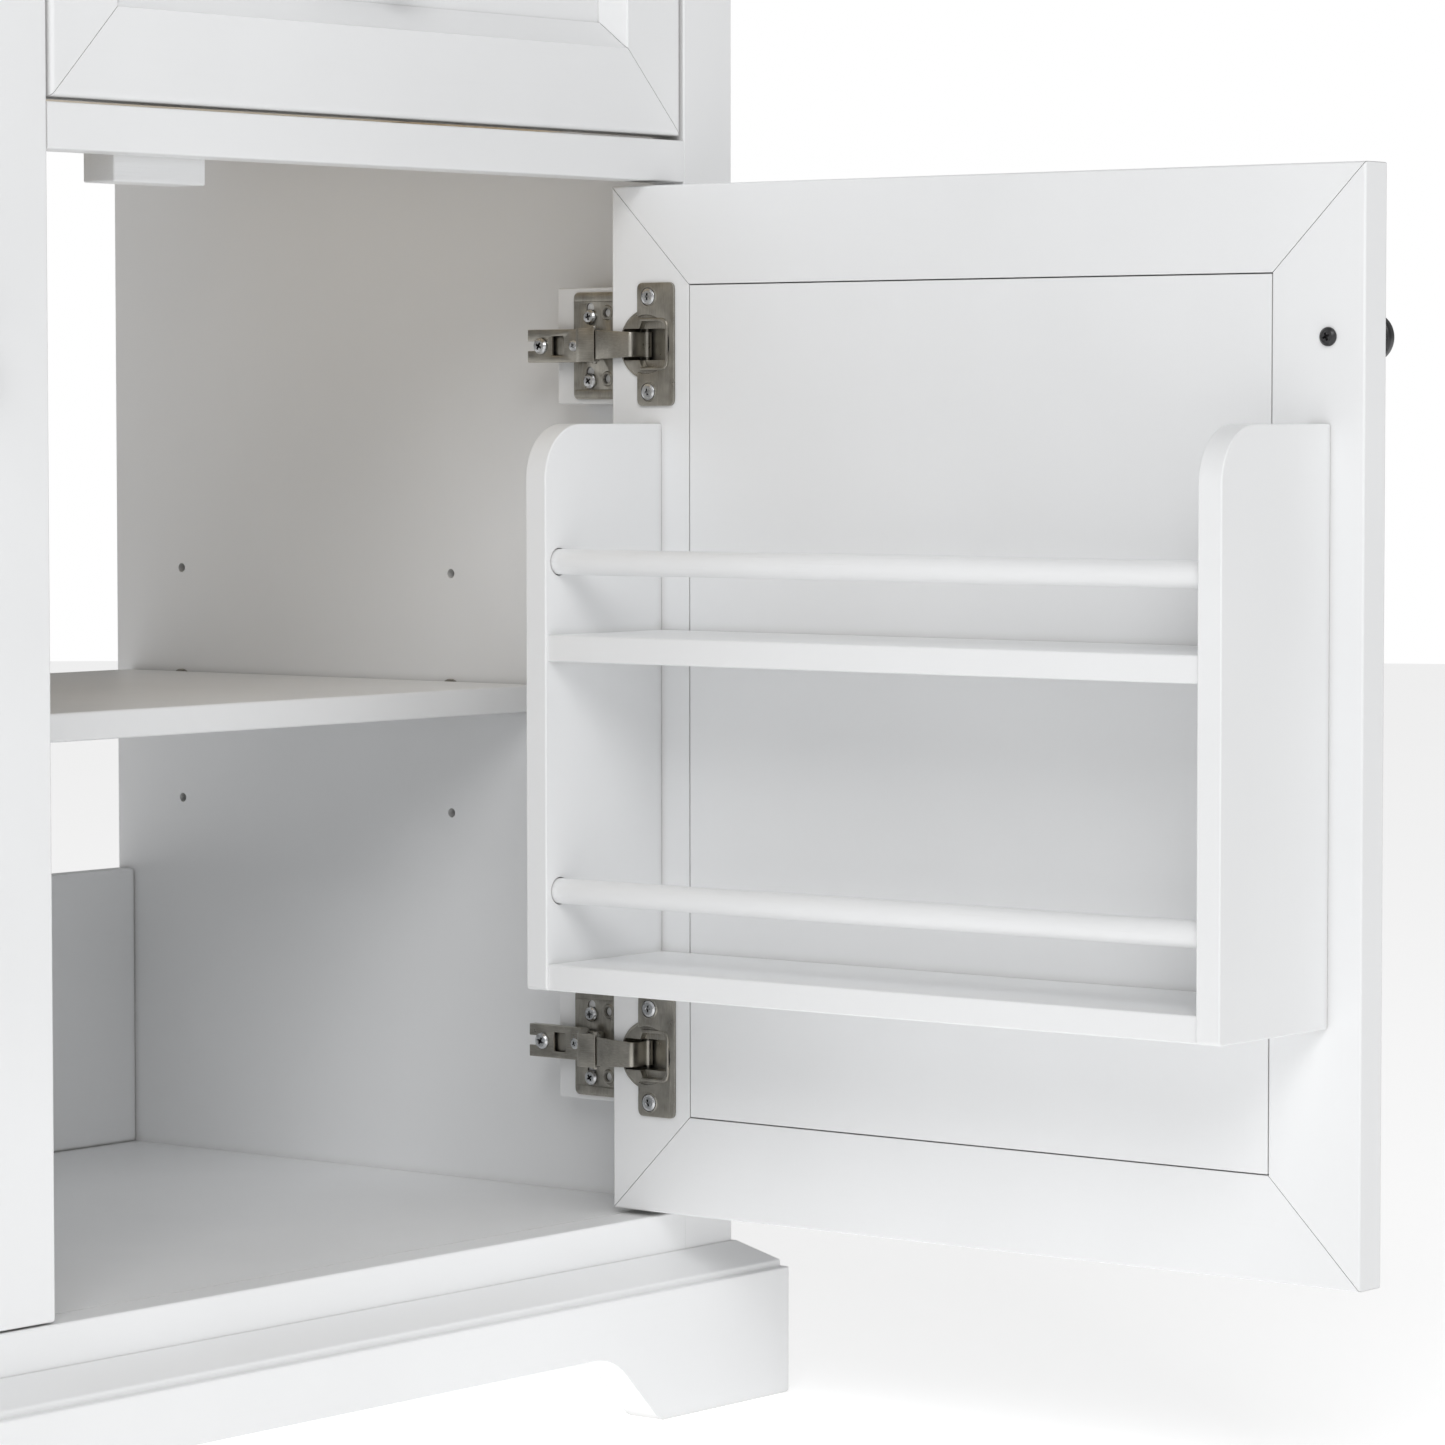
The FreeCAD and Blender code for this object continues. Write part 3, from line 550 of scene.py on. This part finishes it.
def pin(radius, half_length, easing):
    """A round pin along z, both ways from its middle, its ends eased."""
    return lathe(smooth_profile([(0, -half_length, 0), (radius, -half_length, easing),
                                 (radius, half_length, easing), (0, half_length, 0)]), 24)


def tube(inner, outer, half_length):
    """A sleeve along z, both ways from its middle."""
    return lathe([(inner, -half_length), (outer, -half_length), (outer, half_length),
                  (inner, half_length), (inner, -half_length)], 32)


# --- hinges, in the right bay with its door closed ------------------------------
# Sheet coordinates (x, y, z) become (-z, x, y): a sheet laid on the side wall, its depth to -X.
ON_WALL = Matrix(((0, 0, -1, 0), (1, 0, 0, 0), (0, 1, 0, 0), (0, 0, 0, 1)))
# Sheet coordinates become (x, z, y): a sheet laid on the back of a closed door, its depth to +Y.
ON_DOOR = Matrix(((1, 0, 0, 0), (0, 0, 1, 0), (0, 1, 0, 0), (0, 0, 0, 1)))
WEB = -9.9 * MM                                 # outer face of the arm, from the spacer block
PLATE_HOLE_Y = 61 * MM                          # from the face frame's front
PLATE_HOLE_Z = 16.5 * MM


def moved(mesh, matrix):
    """The mesh itself, moved, with its faces kept outward in a mirrored place."""
    mesh.transform(matrix)
    if matrix.determinant() < 0:
        mesh.flip_normals()
    return mesh


def on_all_hinges(parts):
    """Parts drawn about (SIDE, FRONT, hinge height) set at all four hinges of the case."""
    places = [side @ at(SIDE, FRONT, z) for z in HEIGHTS for side in (UPRIGHT, MIRROR)]
    return [(mesh, place @ matrix) for place in places for mesh, matrix in parts]


def plate_parts():
    """Mounting plate: slots, stamped rims, turned ends and the raised seat for the arm."""
    front, back = 42 * MM, 72 * MM
    loops = [rect(front, back, -PLATE_HALF, PLATE_HALF, 3.4 * MM)]
    loops += [long_hole(PLATE_HOLE_Y, s * PLATE_HOLE_Z, 11.5 * MM, 5.2 * MM) for s in (-1, 1)]
    loops += [circle(49.5 * MM, s * 17 * MM, 2.1 * MM, 28) for s in (-1, 1)]
    sheet = bevelled(cut_sheet(loops, 1.3 * MM), 0.3 * MM)
    band = bevelled(cut_sheet([rect(front + 0.7 * MM, back - 0.7 * MM, 0, 4.0 * MM, 1.6 * MM)],
                              0.8 * MM), 0.5 * MM, 3)
    rim = lathe([(2.1 * MM, 0), (4.1 * MM, 0), (3.4 * MM, 0.8 * MM), (2.5 * MM, 0.8 * MM),
                 (2.1 * MM, 0)], 36)
    seat = bevelled(cut_sheet([rect(52 * MM, 90 * MM, -6.4 * MM, 6.4 * MM, 1.5 * MM)], 6.2 * MM),
                    0.8 * MM, 3)
    parts = [(sheet, ON_WALL), (seat, ON_WALL @ at(0, 0, 1.2 * MM)),
             (band, ON_WALL @ at(0, PLATE_HALF - 4.9 * MM, 1.2 * MM)),
             (band, ON_WALL @ at(0, 0.9 * MM - PLATE_HALF, 1.2 * MM))]
    return parts + [(rim, ON_WALL @ at(49.5 * MM, s * 17 * MM, 1.2 * MM)) for s in (-1, 1)]


def arm_parts():
    """The cranked channel arm, its end slotted for the fixing screw, with a window behind."""
    crank = [(WEB, 96 * MM), (WEB, 61 * MM), (-25 * MM, 50 * MM), (-31.4 * MM, 46 * MM),
             (-31.4 * MM, 33.8 * MM)]
    arm = bent_channel(crank, 8.5 * MM, 1.4 * MM, 4.6 * MM)
    slot = moved(cut_sheet([long_hole(0, 0, 26 * MM, 5.0 * MM)], 8 * MM),
                 at(WEB - 4 * MM, 96 * MM, 0) @ Matrix.Rotation(math.radians(90), 4, "Y"))
    window = moved(cut_sheet([rect(71.5 * MM, 79.5 * MM, -5 * MM, 5 * MM, 1.2 * MM)], 8 * MM),
                   at(WEB + 4 * MM, 0, 0) @ ON_WALL)
    return [(bevelled(carved(arm, [slot, window]), 0.35 * MM), UPRIGHT)]


def elbow_parts():
    """The elbow from its pin under the arm's end to the pivot pin in the cup."""
    pivot = (PIVOT.x - SIDE, PIVOT.y - FRONT)
    root = (-27.0 * MM, 37.0 * MM)
    neck = [root, (-31.9 * MM, 32.3 * MM), (-33.0 * MM, 20.5 * MM), (-32.2 * MM, 9.0 * MM),
            (-27.6 * MM, 8.2 * MM), pivot]
    strip = bent_channel(neck, 7.4 * MM, 1.5 * MM, 0, 2.0)
    taper_start, taper_length, taper = 32 * MM, 23 * MM, 0.15
    for vert in strip.vertices:
        along_neck = min(max((taper_start - vert.co.y) / taper_length, 0), 1)
        vert.co.z *= 1 - taper * along_neck
    strip = bevelled(strip, 0.4 * MM, 3)
    curl = bevelled(tube(0.9 * MM, 2.5 * MM, 8.0 * MM), 0.4 * MM)
    eye = tube(1.3 * MM, 2.3 * MM, 6.3 * MM)
    root_pin = pin(1.6 * MM, 9.6 * MM, 0.5 * MM)
    return [(strip, UPRIGHT), (curl, at(*root, 0)), (eye, at(*pivot, 0)), (root_pin, at(*root, 0))]


def case_screw_parts():
    """Plate screws low in their slots, and the arm's fixing and depth screws."""
    flat = ON_WALL @ at(PLATE_HOLE_Y, 0, 1.3 * MM)
    big = pan_screw(3.9 * MM, 2.0 * MM, 2.0 * MM, 8 * MM)
    parts = [(big, flat @ at(0, s * PLATE_HOLE_Z - 1.6 * MM, 0) @ turned(0.4 + s)) for s in (-1, 1)]
    fixing = pan_screw(4.3 * MM, 2.2 * MM, 2.3 * MM, 3 * MM)
    depth = pan_screw(2.9 * MM, 1.0 * MM, 1.8 * MM, 3 * MM)
    parts.append((fixing, ON_WALL @ at(87 * MM, 0, -WEB) @ turned(0.5)))
    parts.append((depth, ON_WALL @ at(65 * MM, 0, -WEB) @ turned(1.1)))
    return parts


# The cup is drawn about its centre on the door's back, x away from the free edge, z outward.
CUP_RADIUS = 17.5 * MM
CUP_FLOOR = -13.4 * MM
CUP_WALL = 0.9 * MM
CUP_SHIFT = CUP_SCREW_X - CUP_X                 # from the cup's centre to its screws
CHEEK_HEIGHT = 13.2 * MM
BAY_LEFT = -12.6 * MM                           # the recess where the elbow lies, and its height
BAY_HALF = 11.6 * MM
THROAT_HALF = 8.0 * MM                          # the slot that the elbow swings in


def cup_bowl():
    """The round pressed cup with its rounded floor and its rolled rim."""
    inner = CUP_RADIUS - CUP_WALL
    outer = CUP_RADIUS + 0.1 * MM
    rim_height = 0.8 * MM
    return lathe(smooth_profile([(0, CUP_FLOOR, 0), (CUP_RADIUS, CUP_FLOOR, 1.8 * MM),
                                 (CUP_RADIUS, 0, 0), (outer, 0, 0), (outer, rim_height, 0.3 * MM),
                                 (inner, rim_height, 0.4 * MM),
                                 (inner, CUP_FLOOR + CUP_WALL, 1.4 * MM),
                                 (0, CUP_FLOOR + CUP_WALL, 0)]), 72)


def cup_flange():
    """The flat flange that the two cup screws hold, open over the cup's mouth."""
    free_edge, hinge_edge, half = CUP_SHIFT - 16.3 * MM, CUP_SHIFT + 7.2 * MM, 31 * MM
    plate = cut_sheet([rect(free_edge, hinge_edge, -half, half, 3.4 * MM)], FLANGE)
    mouth = moved(cut_sheet([circle(0, 0, CUP_RADIUS - 2.4 * MM, 64)], 6 * MM), at(0, 0, -3 * MM))
    return bevelled(carved(plate, [mouth]), 0.55 * MM, 3)


def cup_cheeks():
    """The insert on each side of the elbow, with a shallow recess round its mouth."""
    disc = cut_sheet([circle(0, 0, CUP_RADIUS - CUP_WALL + 0.1 * MM, 64)], CHEEK_HEIGHT)
    throat = moved(cut_sheet([rect(BAY_LEFT, 20 * MM, -THROAT_HALF, THROAT_HALF, 1.5 * MM)],
                             20 * MM), at(0, 0, -4 * MM))
    step, right = 3.4 * MM, 5.2 * MM
    outline = rounded([(BAY_LEFT, -BAY_HALF, 4 * MM), (step, -BAY_HALF, 0.6 * MM),
                       (right, -THROAT_HALF, 0.5 * MM), (right, THROAT_HALF, 0.5 * MM),
                       (step, BAY_HALF, 0.6 * MM), (BAY_LEFT, BAY_HALF, 4 * MM)])
    bay = moved(cut_sheet([outline], 6 * MM), at(0, 0, CHEEK_HEIGHT - 4.2 * MM))
    return bevelled(carved(disc, [throat, bay]), 0.5 * MM, 3)


def cup_lip():
    """The raised lip, C-shaped about the recess and open towards the hinge's arm."""
    left, right, half = -14.2 * MM, 3.8 * MM, 13.2 * MM
    past = 6 * MM
    lip = cut_sheet([rounded([(left, -half, 5 * MM), (right, -half, 0.8 * MM),
                              (right, half, 0.8 * MM), (left, half, 5 * MM)])], 1.1 * MM)
    hollow = cut_sheet([rounded([(BAY_LEFT, -BAY_HALF, 4 * MM), (past, -BAY_HALF, 0),
                                 (past, BAY_HALF, 0), (BAY_LEFT, BAY_HALF, 4 * MM)])], 4 * MM)
    return bevelled(carved(lip, [moved(hollow, at(0, 0, -1 * MM))]), 0.4 * MM, 3)


def cup_parts():
    """A whole 35 mm cup: bowl, flange, insert, lip, pivot pin and the rings about its screws."""
    across = Matrix.Rotation(math.radians(90), 4, "X")
    pivot = at(PIVOT.x - CUP_X, 0, PIVOT.y - DOOR_BACK) @ across
    ring = lathe([(4.4 * MM, 0), (5.2 * MM, 0), (4.9 * MM, 0.55 * MM), (4.6 * MM, 0.55 * MM),
                  (4.4 * MM, 0)], 36)
    parts = [(cup_bowl(), UPRIGHT), (cup_flange(), UPRIGHT),
             (cup_cheeks(), at(0, 0, CUP_FLOOR + 0.8 * MM)),
             (cup_lip(), at(0, 0, FLANGE - 0.5 * MM)), (pin(1.2 * MM, 9.5 * MM, 0.2 * MM), pivot)]
    for s in (-1, 1):
        parts.append((ring, at(CUP_SHIFT, s * CUP_SCREW_REACH, FLANGE - 0.05 * MM)))
    return parts


def on_cups(parts, door):
    """Parts drawn on a cup set at both cups of a door; door is OPEN or MIRROR."""
    return [(mesh, door @ at(CUP_X, DOOR_BACK, z) @ ON_DOOR @ matrix)
            for z in HEIGHTS for mesh, matrix in parts]


def cup_screw_parts():
    """The two flat-headed screws of a cup's flange."""
    head = pan_screw(4.2 * MM, 1.2 * MM, 2.0 * MM, 10 * MM)
    return [(head, at(CUP_SHIFT, s * CUP_SCREW_REACH, FLANGE) @ turned(0.7 + 0.9 * s)) for s in (-1, 1)]


def make_hinges():
    piece("mounting_plates", "carcass", "nickel_hinge", "z", on_all_hinges(plate_parts()),
          ["hinge_plates"])
    piece("cranked_arms", "carcass", "nickel_hinge", "y",
          on_all_hinges(arm_parts() + elbow_parts()), ["hinge_arms"])
    piece("hinge_case_screws", "carcass", "screw_steel", "z", on_all_hinges(case_screw_parts()),
          ["hinge_plate_screws"])
    cup = cup_parts()
    piece("right_door_cups", "right_door", "nickel_hinge", "z", on_cups(cup, OPEN),
          ["right_door_hinge_cups"])
    piece("left_door_cups", "left_door", "nickel_hinge", "z", on_cups(cup, MIRROR),
          ["left_door_hinge_cups"])
    screws = cup_screw_parts()
    piece("right_door_cup_screw_heads", "right_door", "screw_steel", "z", on_cups(screws, OPEN),
          ["right_door_cup_screws"])
    low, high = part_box("left_door_knob")
    inner = pan_screw(4.4 * MM, 2.4 * MM, 2.2 * MM, 12 * MM)
    inside = at((low.x + high.x) / 2, DOOR_BACK, (low.z + high.z) / 2) @ ON_DOOR @ turned(0.3)
    piece("left_door_screw_heads", "left_door", "screw_steel", "z",
          on_cups(screws, MIRROR) + [(inner, inside)], ["left_door_screws"])


# --- knobs --------------------------------------------------------------------
KNOB_REACH = 24 * MM
KNOB_SCREW_HEAD = 2.4 * MM


def knob_mesh():
    """A turned mushroom knob standing on z = 0."""
    return lathe(smooth_profile([(0, 0, 0), (8.0 * MM, 0, 0), (8.0 * MM, 2.2 * MM, 0.9 * MM),
                                 (4.6 * MM, 6.0 * MM, 3.0 * MM), (4.9 * MM, 10.6 * MM, 2.6 * MM),
                                 (12.2 * MM, 14.2 * MM, 2.2 * MM),
                                 (11.6 * MM, 20.2 * MM, 4.4 * MM), (0, KNOB_REACH, 0)], 10), 72)


TO_FRONT = Matrix.Rotation(math.radians(90), 4, "X")
TO_BACK = Matrix.Rotation(math.radians(-90), 4, "X")
TO_RIGHT = Matrix.Rotation(math.radians(90), 4, "Y")
TO_LEFT = Matrix.Rotation(math.radians(-90), 4, "Y")


def make_knobs():
    knob = knob_mesh()
    screw = pan_screw(4.4 * MM, KNOB_SCREW_HEAD, 2.2 * MM, 12 * MM)
    low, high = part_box("right_door_knob")
    middle = (low + high) / 2
    piece("right_door_turned_knob", "right_door", "black_metal", "z",
          [(knob, at(high.x - KNOB_REACH, middle.y, middle.z) @ TO_RIGHT)], ["right_door_knob"], 50)
    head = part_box("right_door_knob_screw")[0].x + KNOB_SCREW_HEAD
    piece("right_door_knob_screw_head", "right_door", "black_metal", "z",
          [(screw, at(head, middle.y, middle.z) @ TO_LEFT @ turned(0.35))],
          ["right_door_knob_screw"])
    low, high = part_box("left_door_knob")
    middle = (low + high) / 2
    piece("left_door_turned_knob", "left_door", "black_metal", "z",
          [(knob, at(middle.x, low.y + KNOB_REACH, middle.z) @ TO_FRONT)], ["left_door_knob"], 50)
    for side in ("right", "left"):
        low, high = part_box(side + "_drawer_knob")
        middle = (low + high) / 2
        piece(side + "_drawer_turned_knob", side + "_drawer", "black_metal", "z",
              [(knob, at(middle.x, low.y + KNOB_REACH, middle.z) @ TO_FRONT),
               (screw, at(middle.x, high.y - KNOB_SCREW_HEAD, middle.z) @ TO_BACK)],
              [side + "_drawer_knob"], 50)


# --- rack rods ----------------------------------------------------------------
def rod_mesh(length, radius, seed, rings=120, steps=36):
    """A dowel along y from 0, a little bowed and uneven, as planed wood is."""
    draw = random.Random(seed)
    waves = [(draw.uniform(2, 9), draw.uniform(0, 6.28), draw.uniform(0, 6.28)) for _ in range(4)]
    work = bmesh.new()
    loops = []
    for i in range(rings + 1):
        t = i / rings
        hold = math.sin(math.pi * t)
        off = Vector((0, 0))
        for turns, phase, way in waves:
            off += Vector((math.cos(way), math.sin(way))) * math.sin(turns * t * math.pi + phase)
        off *= 0.10 * MM * hold
        size = radius - 0.12 * MM * hold * (0.5 + 0.5 * math.sin(9 * t + seed))
        loops.append([work.verts.new((off.x + size * math.cos(2 * math.pi * k / steps), length * t,
                                      off.y + size * math.sin(2 * math.pi * k / steps)))
                      for k in range(steps)])
    for low, high in zip(loops, loops[1:]):
        for k in range(steps):
            work.faces.new((low[k], low[(k + 1) % steps], high[(k + 1) % steps], high[k]))
    work.faces.new(loops[0])
    work.faces.new(loops[-1])
    return closed_mesh(work, "rod")


def make_rods():
    low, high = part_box("right_door_rack_rods")
    radius = (high.x - low.x) / 2
    places = [at(low.x + radius, low.y, z) for z in (low.z + radius, high.z - radius)]
    piece("right_rack_turned_rods", "right_door", "painted_dowel", "y",
          [(rod_mesh(high.y - low.y, radius, seed), place) for seed, place in enumerate(places)],
          ["right_door_rack_rods"], 50)


# --- studio -------------------------------------------------------------------
CAMERA_PLACE = (-1.7244, -1.9747, 0.5062)       # metres
CAMERA_TURN = (86.843, 0.036, -51.668)          # degrees
CAMERA_LENS = 137.44                            # mm, on a 36 mm sensor


def make_camera():
    data = bpy.data.cameras.new("camera")
    data.sensor_width = 36
    data.lens = CAMERA_LENS
    camera = bpy.data.objects.new("camera", data)
    camera.location = CAMERA_PLACE
    camera.rotation_euler = [math.radians(a) for a in CAMERA_TURN]
    scene.collection.objects.link(camera)
    scene.camera = camera


SKY_FRONT = 0.43                                # strength of the sky's light from each side
SKY_BACK = 0.22
KEY_PLACE = (-2.4, -2.5, 2.7)
KEY_TARGET = (0.1, -0.1, 0.3)
KEY_SIZE = 2.0
KEY_POWER = 63                                  # watts
FLOOR_RADIUS = 9.0
FLOOR_GLOW = 0.54


def make_world():
    """A plain white backdrop that lights the object more from the front than from behind."""
    world = bpy.data.worlds.new("studio")
    world.use_nodes = True
    tree = world.node_tree
    toward = add(tree, "TexCoord").outputs["Generated"]
    lean = add(tree, "VectorMath", {0: toward, 1: (-0.45, -0.88, 0.1)},
               operation="DOT_PRODUCT").outputs["Value"]
    lit = remap(tree, lean, -0.8, 0.6, SKY_BACK, SKY_FRONT)
    seen = add(tree, "LightPath").outputs["Is Camera Ray"]
    strength = remap(tree, seen, 0.0, 1.0, lit, 1.0)
    tree.links.new(strength, tree.nodes["Background"].inputs["Strength"])
    tree.nodes["Background"].inputs["Color"].default_value = rgb(1.0, 1.0, 1.0)
    scene.world = world


def make_key_light():
    """One large soft light high at the front left."""
    data = bpy.data.lights.new("soft_key", "AREA")
    data.shape = "RECTANGLE"
    data.size = KEY_SIZE
    data.size_y = KEY_SIZE
    data.energy = KEY_POWER
    lamp = bpy.data.objects.new("soft_key", data)
    lamp.location = KEY_PLACE
    aim = Vector(KEY_TARGET) - Vector(KEY_PLACE)
    lamp.rotation_euler = aim.to_track_quat("-Z", "Y").to_euler()
    scene.collection.objects.link(lamp)


def floor_paint(name):
    """Plain pale studio floor, with a very faint mottle."""
    material, tree, shader, place = start(name)
    cloud = noise(tree, place, 0.8, detail=3.0)
    colour = blend(tree, cloud, rgb(0.90, 0.90, 0.90), rgb(0.92, 0.92, 0.92))
    tree.links.new(colour, shader.inputs["Base Color"])
    tree.links.new(remap(tree, cloud, 0.3, 0.7, 0.8, 0.9), shader.inputs["Roughness"])
    shader.inputs["Specular IOR Level"].default_value = 0.1
    shader.inputs["Emission Color"].default_value = rgb(1, 1, 1)
    shader.inputs["Emission Strength"].default_value = FLOOR_GLOW
    return material


def make_floor():
    mesh = bpy.data.meshes.new("floor")
    work = bmesh.new()
    bmesh.ops.create_circle(work, cap_ends=True, segments=96, radius=FLOOR_RADIUS)
    work.to_mesh(mesh)
    work.free()
    mesh.materials.append(floor_paint("studio_floor"))
    floor = bpy.data.objects.new("floor", mesh)
    floor.location = (0, 0, -0.5 * MM)
    scene.collection.objects.link(floor)


finish_nodes()
make_hinges()
make_knobs()
make_rods()
make_camera()
make_world()
make_floor()
make_key_light()
